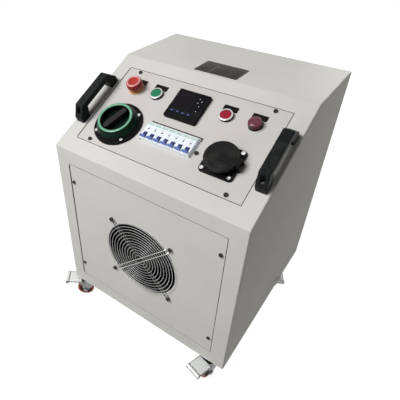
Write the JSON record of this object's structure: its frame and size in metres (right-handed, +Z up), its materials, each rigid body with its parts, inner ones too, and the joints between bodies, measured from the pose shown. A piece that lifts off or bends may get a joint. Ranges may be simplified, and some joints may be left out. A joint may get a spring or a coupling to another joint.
{
  "type": "mobile generator load bank",
  "caption": "Mobile load bank for testing generators: sheet metal cabinet on swivel casters with a fan guard in front, a sloping control panel and bridge handles.",
  "frame": {"origin": "on the floor, at the middle of the whole part's footprint; the cabinet itself stands a little to the right and to the back of it, because the brake pedals stand out further at the front and on the left", "axes": "+Z up, -Y is the front with the fan, +X is to the right of someone who faces the control panel"},
  "size_m": [0.5562, 0.5598, 0.6748],
  "materials": {
    "cabinet_paint": "fine textured powder coat",
    "panel_paint": "fine textured powder coat",
    "steel_zinc": "zinc plated",
    "screw_black": "black oxide",
    "screw_bright": "polished",
    "handle_black": "moulded, lightly grained",
    "guard_wire": "bright plated wire",
    "fan_black": "black moulded",
    "resistor_sheet": "plain sheet",
    "resistor_ceramic": "glazed ceramic tube",
    "breaker_white": "moulded",
    "toggle_blue": "moulded",
    "meter_black": "moulded",
    "meter_window": "smoked window",
    "meter_keys": "soft keys",
    "device_black": "moulded",
    "estop_red": "moulded",
    "cap_green": "moulded",
    "cap_red": "moulded",
    "lens_red": "tinted translucent lens",
    "bezel_chrome": "satin",
    "label_black": "bare label strip",
    "nameplate_bronze": "dark anodised, bare",
    "switch_black": "moulded, dark green black",
    "socket_black": "moulded",
    "caster_steel": "bright zinc",
    "caster_tread": "polyurethane tread on a black core"
  },
  "bodies": {
    "root": {"cabinet_shell": "cabinet_paint", "floor_pan": "cabinet_paint", "front_panel": "cabinet_paint", "rear_panel": "cabinet_paint", "control_panel": "panel_paint", "panel_screws": "screw_black", "handle_left": "handle_black", "handle_right": "handle_black", "handle_screws": "screw_black", "fan_guard": "guard_wire", "fan_frame": "fan_black", "fan_screws": "screw_black", "resistor_frame": "resistor_sheet", "resistor_elements": "resistor_ceramic", "din_rail": "steel_zinc", "breaker_bodies": "breaker_white", "meter_case": "meter_black", "meter_face": "meter_window", "estop_collar": "device_black", "start_button_body": "device_black", "stop_button_body": "device_black", "lamp_body": "device_black", "lamp_lens": "lens_red", "label_plates": "label_black", "nameplate": "nameplate_bronze", "switch_base": "switch_black", "socket_housing": "socket_black", "socket_hinge_pin": "screw_bright", "device_screws": "screw_bright", "caster_plates": "caster_steel"},
    "caster_fork_fl": {"caster_fork_fl": "caster_steel"},
    "caster_wheel_fl": {"caster_wheel_fl": "caster_tread"},
    "caster_pedal_fl": {"caster_pedal_fl": "caster_steel"},
    "caster_fork_fr": {"caster_fork_fr": "caster_steel"},
    "caster_wheel_fr": {"caster_wheel_fr": "caster_tread"},
    "caster_pedal_fr": {"caster_pedal_fr": "caster_steel"},
    "caster_fork_rl": {"caster_fork_rl": "caster_steel"},
    "caster_wheel_rl": {"caster_wheel_rl": "caster_tread"},
    "caster_pedal_rl": {"caster_pedal_rl": "caster_steel"},
    "caster_fork_rr": {"caster_fork_rr": "caster_steel"},
    "caster_wheel_rr": {"caster_wheel_rr": "caster_tread"},
    "caster_pedal_rr": {"caster_pedal_rr": "caster_steel"},
    "fan_impeller": {"fan_impeller": "fan_black"},
    "breaker_toggle_1": {"breaker_toggle_1": "toggle_blue"},
    "breaker_toggle_2": {"breaker_toggle_2": "toggle_blue"},
    "breaker_toggle_3": {"breaker_toggle_3": "toggle_blue"},
    "breaker_toggle_4": {"breaker_toggle_4": "toggle_blue"},
    "breaker_toggle_5": {"breaker_toggle_5": "toggle_blue"},
    "breaker_toggle_6": {"breaker_toggle_6": "toggle_blue"},
    "breaker_toggle_7": {"breaker_toggle_7": "toggle_blue"},
    "meter_key_1": {"meter_key_1": "meter_keys"},
    "meter_key_2": {"meter_key_2": "meter_keys"},
    "meter_key_3": {"meter_key_3": "meter_keys"},
    "meter_key_4": {"meter_key_4": "meter_keys"},
    "estop_stem": {"estop_stem": "device_black"},
    "estop_head": {"estop_head": "estop_red"},
    "start_button_cap": {"start_button_cap": "cap_green"},
    "stop_button_cap": {"stop_button_cap": "cap_red"},
    "switch_handle": {"switch_handle": "switch_black"},
    "socket_lid": {"socket_lid": "socket_black"}
  },
  "joints": [
    {"name": "caster_swivel_fl", "type": "hinge", "parent": "root", "child": "caster_fork_fl", "pos_m": [-0.20313, -0.19911, 0.074], "axis": [0, 0, 1], "continuous": true},
    {"name": "caster_roll_fl", "type": "hinge", "parent": "caster_fork_fl", "child": "caster_wheel_fl", "pos_m": [-0.2207, -0.21235, 0.025], "axis": [-0.6018, 0.7986, 0], "continuous": true},
    {"name": "caster_brake_fl", "type": "hinge", "parent": "caster_fork_fl", "child": "caster_pedal_fl", "pos_m": [-0.22469, -0.21536, 0.055], "axis": [0.6018, -0.7986, 0], "range_deg": [0, 12]},
    {"name": "caster_swivel_fr", "type": "hinge", "parent": "root", "child": "caster_fork_fr", "pos_m": [0.22087, -0.19911, 0.074], "axis": [0, 0, 1], "continuous": true},
    {"name": "caster_roll_fr", "type": "hinge", "parent": "caster_fork_fr", "child": "caster_wheel_fr", "pos_m": [0.21495, -0.2203, 0.025], "axis": [-0.9632, 0.2689, 0], "continuous": true},
    {"name": "caster_brake_fr", "type": "hinge", "parent": "caster_fork_fr", "child": "caster_pedal_fr", "pos_m": [0.21361, -0.22512, 0.055], "axis": [0.9632, -0.2689, 0], "range_deg": [0, 12]},
    {"name": "caster_swivel_rl", "type": "hinge", "parent": "root", "child": "caster_fork_rl", "pos_m": [-0.20313, 0.18289, 0.074], "axis": [0, 0, 1], "continuous": true},
    {"name": "caster_roll_rl", "type": "hinge", "parent": "caster_fork_rl", "child": "caster_wheel_rl", "pos_m": [-0.21243, 0.20283, 0.025], "axis": [0.9063, 0.4226, 0], "continuous": true},
    {"name": "caster_brake_rl", "type": "hinge", "parent": "caster_fork_rl", "child": "caster_pedal_rl", "pos_m": [-0.21454, 0.20736, 0.055], "axis": [-0.9063, -0.4226, 0], "range_deg": [0, 12]},
    {"name": "caster_swivel_rr", "type": "hinge", "parent": "root", "child": "caster_fork_rr", "pos_m": [0.22087, 0.18289, 0.074], "axis": [0, 0, 1], "continuous": true},
    {"name": "caster_roll_rr", "type": "hinge", "parent": "caster_fork_rr", "child": "caster_wheel_rr", "pos_m": [0.23187, 0.16384, 0.025], "axis": [-0.866, -0.5, 0], "continuous": true},
    {"name": "caster_brake_rr", "type": "hinge", "parent": "caster_fork_rr", "child": "caster_pedal_rr", "pos_m": [0.23437, 0.15951, 0.055], "axis": [0.866, 0.5, 0], "range_deg": [0, 12]},
    {"name": "fan_spin", "type": "hinge", "parent": "root", "child": "fan_impeller", "pos_m": [0.00887, -0.22511, 0.304], "axis": [0, -1, 0], "continuous": true},
    {"name": "breaker_switch_1", "type": "hinge", "parent": "root", "child": "breaker_toggle_1", "pos_m": [-0.04263, -0.13806, 0.58719], "axis": [-1, 0, 0], "range_deg": [0, 92]},
    {"name": "breaker_switch_2", "type": "hinge", "parent": "root", "child": "breaker_toggle_2", "pos_m": [-0.02463, -0.13806, 0.58719], "axis": [-1, 0, 0], "range_deg": [0, 92]},
    {"name": "breaker_switch_3", "type": "hinge", "parent": "root", "child": "breaker_toggle_3", "pos_m": [-0.00663, -0.13806, 0.58719], "axis": [-1, 0, 0], "range_deg": [0, 92]},
    {"name": "breaker_switch_4", "type": "hinge", "parent": "root", "child": "breaker_toggle_4", "pos_m": [0.01137, -0.13806, 0.58719], "axis": [-1, 0, 0], "range_deg": [0, 92]},
    {"name": "breaker_switch_5", "type": "hinge", "parent": "root", "child": "breaker_toggle_5", "pos_m": [0.02937, -0.13806, 0.58719], "axis": [-1, 0, 0], "range_deg": [0, 92]},
    {"name": "breaker_switch_6", "type": "hinge", "parent": "root", "child": "breaker_toggle_6", "pos_m": [0.04737, -0.13806, 0.58719], "axis": [-1, 0, 0], "range_deg": [0, 92]},
    {"name": "breaker_switch_7", "type": "hinge", "parent": "root", "child": "breaker_toggle_7", "pos_m": [0.06537, -0.13806, 0.58719], "axis": [-1, 0, 0], "range_deg": [0, 92]},
    {"name": "meter_press_1", "type": "slide", "parent": "root", "child": "meter_key_1", "axis": [0, 0.4537, -0.8912], "range_m": [0, 0.0008], "stiffness_N_per_m": 600},
    {"name": "meter_press_2", "type": "slide", "parent": "root", "child": "meter_key_2", "axis": [0, 0.4537, -0.8912], "range_m": [0, 0.0008], "stiffness_N_per_m": 600},
    {"name": "meter_press_3", "type": "slide", "parent": "root", "child": "meter_key_3", "axis": [0, 0.4537, -0.8912], "range_m": [0, 0.0008], "stiffness_N_per_m": 600},
    {"name": "meter_press_4", "type": "slide", "parent": "root", "child": "meter_key_4", "axis": [0, 0.4537, -0.8912], "range_m": [0, 0.0008], "stiffness_N_per_m": 600},
    {"name": "estop_press", "type": "slide", "parent": "root", "child": "estop_stem", "axis": [0, 0.4537, -0.8912], "range_m": [0, 0.004]},
    {"name": "estop_twist", "type": "hinge", "parent": "estop_stem", "child": "estop_head", "pos_m": [-0.14613, -0.03641, 0.63109], "axis": [0, 0.4537, -0.8912], "range_deg": [0, 45], "stiffness_Nm_per_rad": 0.02},
    {"name": "start_press", "type": "slide", "parent": "root", "child": "start_button_cap", "axis": [0, 0.4537, -0.8912], "range_m": [0, 0.004], "stiffness_N_per_m": 800},
    {"name": "stop_press", "type": "slide", "parent": "root", "child": "stop_button_cap", "axis": [0, 0.4537, -0.8912], "range_m": [0, 0.004], "stiffness_N_per_m": 800},
    {"name": "main_switch_turn", "type": "hinge", "parent": "root", "child": "switch_handle", "pos_m": [-0.12513, -0.13132, 0.58277], "axis": [0, 0.4537, -0.8912], "range_deg": [0, 90]},
    {"name": "socket_lid_open", "type": "hinge", "parent": "root", "child": "socket_lid", "pos_m": [0.18207, -0.13775, 0.60092], "axis": [0, 0.8912, 0.4537], "range_deg": [0, 110]}
  ]
}
